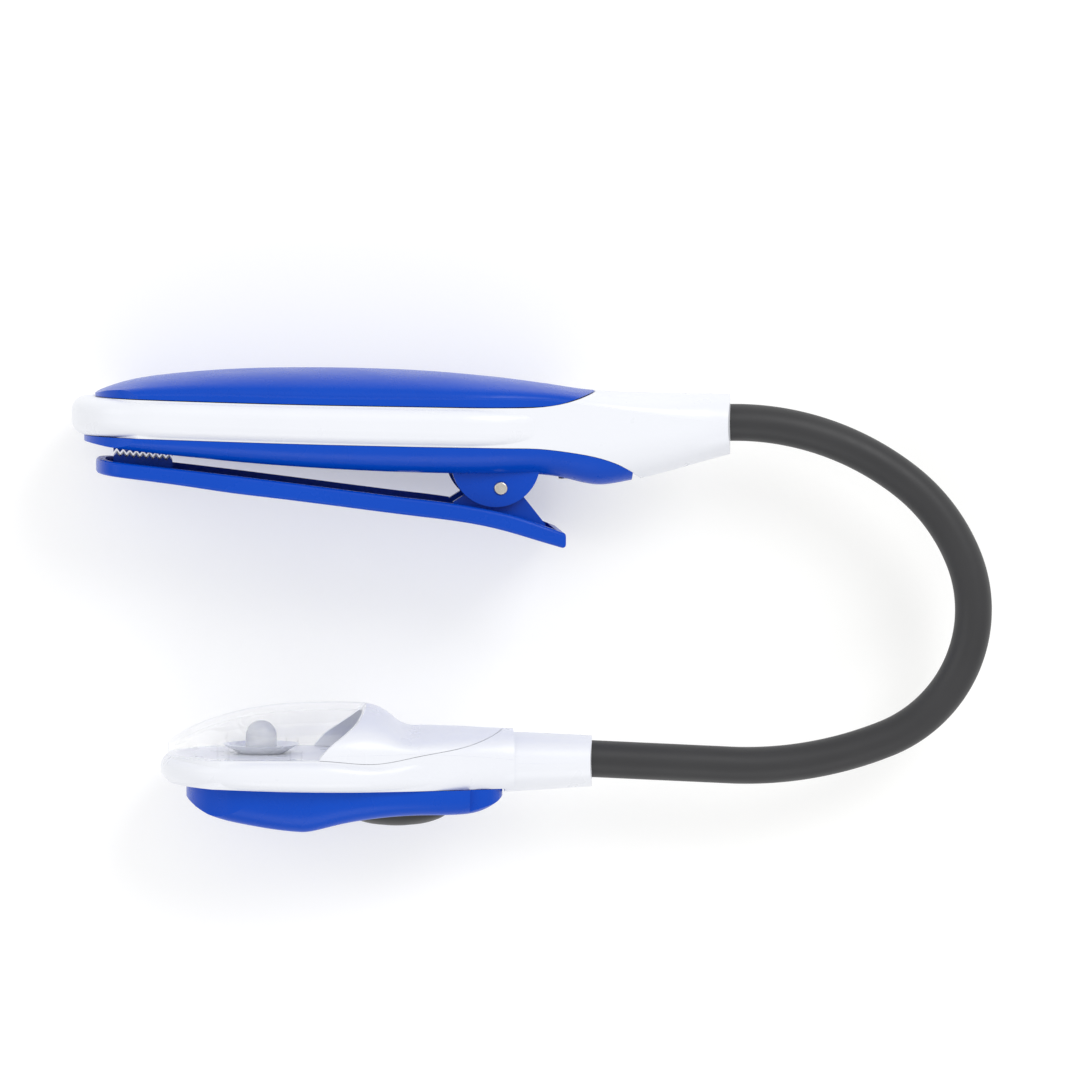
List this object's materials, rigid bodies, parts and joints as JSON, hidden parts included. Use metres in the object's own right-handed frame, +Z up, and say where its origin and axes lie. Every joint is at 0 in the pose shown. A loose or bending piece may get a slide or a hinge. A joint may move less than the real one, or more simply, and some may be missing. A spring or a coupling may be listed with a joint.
{
  "type": "clip on reading lamp",
  "caption": "Clip-on reading lamp: a toothed spring clip that holds the cells, a bendable sleeved neck and a lens head with a push button.",
  "frame": {"origin": "middle of the lamp's box on the surface that it lies on", "axes": "+X from the clip's toothed nose towards the neck's bend, +Y from the head towards the clip, +Z up off the flank that the lamp lies on"},
  "size_m": [0.149, 0.0742, 0.03],
  "materials": {
    "white_plastic": "satin gloss moulded ABS",
    "blue_plastic": "glossy moulded ABS",
    "zinc_steel": "zinc plated",
    "steel_pin": "bright drawn",
    "spring_steel": "drawn spring wire",
    "cell_wrap": "printed film wrap, plain",
    "nickel_plate": "nickel plated",
    "neck_rubber": "satin",
    "core_steel": "wound wire",
    "red_insulation": "extruded",
    "black_insulation": "extruded",
    "clear_plastic": "polished clear plastic",
    "board_green": "solder mask",
    "led_epoxy": "diffused epoxy",
    "resistor_body": "lacquered",
    "switch_black": "moulded",
    "button_grey": "soft matt"
  },
  "bodies": {
    "clip_base": {"base_frame": "white_plastic", "base_bottom_shell": "blue_plastic", "base_screws": "zinc_steel", "hinge_pin": "steel_pin", "torsion_spring": "spring_steel", "battery_left": "cell_wrap", "battery_right": "cell_wrap", "contact_springs": "spring_steel", "contact_bridge": "nickel_plate", "contact_tabs": "nickel_plate", "ferrule_base": "nickel_plate", "neck_sleeve": "neck_rubber", "wire_red": "red_insulation", "wire_black": "black_insulation", "neck_core_00": "core_steel"},
    "battery_door": {"battery_cover": "blue_plastic"},
    "jaw": {"clip_jaw": "blue_plastic"},
    "lamp_head": {"head_frame": "white_plastic", "head_bezel": "white_plastic", "head_lens": "clear_plastic", "head_back_cover": "blue_plastic", "head_screws": "zinc_steel", "head_board": "board_green", "led": "led_epoxy", "led_leads": "nickel_plate", "reflector": "white_plastic", "resistor": "resistor_body", "switch_body": "switch_black", "ferrule_head": "nickel_plate", "neck_core_14": "core_steel"},
    "switch_cap": {"switch_button": "button_grey", "switch_plunger": "switch_black"},
    "neck_01": {"neck_core_01": "core_steel"},
    "neck_02": {"neck_core_02": "core_steel"},
    "neck_03": {"neck_core_03": "core_steel"},
    "neck_04": {"neck_core_04": "core_steel"},
    "neck_05": {"neck_core_05": "core_steel"},
    "neck_06": {"neck_core_06": "core_steel"},
    "neck_07": {"neck_core_07": "core_steel"},
    "neck_08": {"neck_core_08": "core_steel"},
    "neck_09": {"neck_core_09": "core_steel"},
    "neck_10": {"neck_core_10": "core_steel"},
    "neck_11": {"neck_core_11": "core_steel"},
    "neck_12": {"neck_core_12": "core_steel"},
    "neck_13": {"neck_core_13": "core_steel"}
  },
  "joints": [
    {"name": "neck_sway_base", "type": "hinge", "parent": "clip_base", "child": "neck_01", "pos_m": [0.03633, 0.02788, 0.015], "axis": [-0.0858, -0.9963, 0], "range_deg": [-30, 30], "deforming": ["neck_sleeve", "wire_red", "wire_black"]},
    {"name": "neck_bend_02", "type": "hinge", "parent": "neck_01", "child": "neck_02", "pos_m": [0.04545, 0.02614, 0.015], "axis": [0, 0, 1], "range_deg": [-0.5, 11.74]},
    {"name": "neck_bend_03", "type": "hinge", "parent": "neck_02", "child": "neck_03", "pos_m": [0.05403, 0.02258, 0.015], "axis": [0, 0, 1], "range_deg": [-0.5, 11.83]},
    {"name": "neck_bend_04", "type": "hinge", "parent": "neck_03", "child": "neck_04", "pos_m": [0.06169, 0.01734, 0.015], "axis": [0, 0, 1], "range_deg": [-0.5, 15.59]},
    {"name": "neck_bend_05", "type": "hinge", "parent": "neck_04", "child": "neck_05", "pos_m": [0.06765, 0.01025, 0.015], "axis": [0, 0, 1], "range_deg": [-0.5, 18.14]},
    {"name": "neck_bend_06", "type": "hinge", "parent": "neck_05", "child": "neck_06", "pos_m": [0.0711, 0.00167, 0.015], "axis": [0, 0, 1], "range_deg": [-0.5, 22.82]},
    {"name": "neck_bend_07", "type": "hinge", "parent": "neck_06", "child": "neck_07", "pos_m": [0.07096, -0.00757, 0.015], "axis": [0, 0, 1], "range_deg": [-0.5, 23.79]},
    {"name": "neck_bend_08", "type": "hinge", "parent": "neck_07", "child": "neck_08", "pos_m": [0.0671, -0.01596, 0.015], "axis": [0, 0, 1], "range_deg": [-0.5, 23.79]},
    {"name": "neck_bend_09", "type": "hinge", "parent": "neck_08", "child": "neck_09", "pos_m": [0.06018, -0.02208, 0.015], "axis": [0, 0, 1], "range_deg": [-0.5, 20.52]},
    {"name": "neck_bend_10", "type": "hinge", "parent": "neck_09", "child": "neck_10", "pos_m": [0.05152, -0.0254, 0.015], "axis": [0, 0, 1], "range_deg": [-0.5, 9.61]},
    {"name": "neck_bend_11", "type": "hinge", "parent": "neck_10", "child": "neck_11", "pos_m": [0.04241, -0.02723, 0.015], "axis": [0, 0, 1], "range_deg": [-0.5, 8.74]},
    {"name": "neck_bend_12", "type": "hinge", "parent": "neck_11", "child": "neck_12", "pos_m": [0.03313, -0.02766, 0.015], "axis": [0, 0, 1], "range_deg": [-0.5, 5.55]},
    {"name": "neck_sway_head", "type": "hinge", "parent": "neck_12", "child": "neck_13", "pos_m": [0.02384, -0.02719, 0.015], "axis": [0.0523, 0.9986, 0], "range_deg": [-35, 35]},
    {"name": "neck_tilt_head", "type": "hinge", "parent": "neck_13", "child": "lamp_head", "pos_m": [0.01455, -0.0267, 0.015], "axis": [0, 0, 1], "range_deg": [-12, 35]},
    {"name": "clip_hinge", "type": "hinge", "parent": "clip_base", "child": "jaw", "pos_m": [-0.00601, 0.01795, 0.015], "axis": [0, 0, 1], "range_deg": [0, 26], "stiffness_Nm_per_rad": 0.12, "springref_deg": -20.05, "deforming": ["torsion_spring"]},
    {"name": "battery_door_lift", "type": "slide", "parent": "clip_base", "child": "battery_door", "axis": [0, 1, 0], "range_m": [0, 0.03]},
    {"name": "switch_press", "type": "slide", "parent": "lamp_head", "child": "switch_cap", "axis": [0, 1, 0], "range_m": [0, 0.0009], "stiffness_N_per_m": 600, "springref_m": -0.0008}
  ]
}
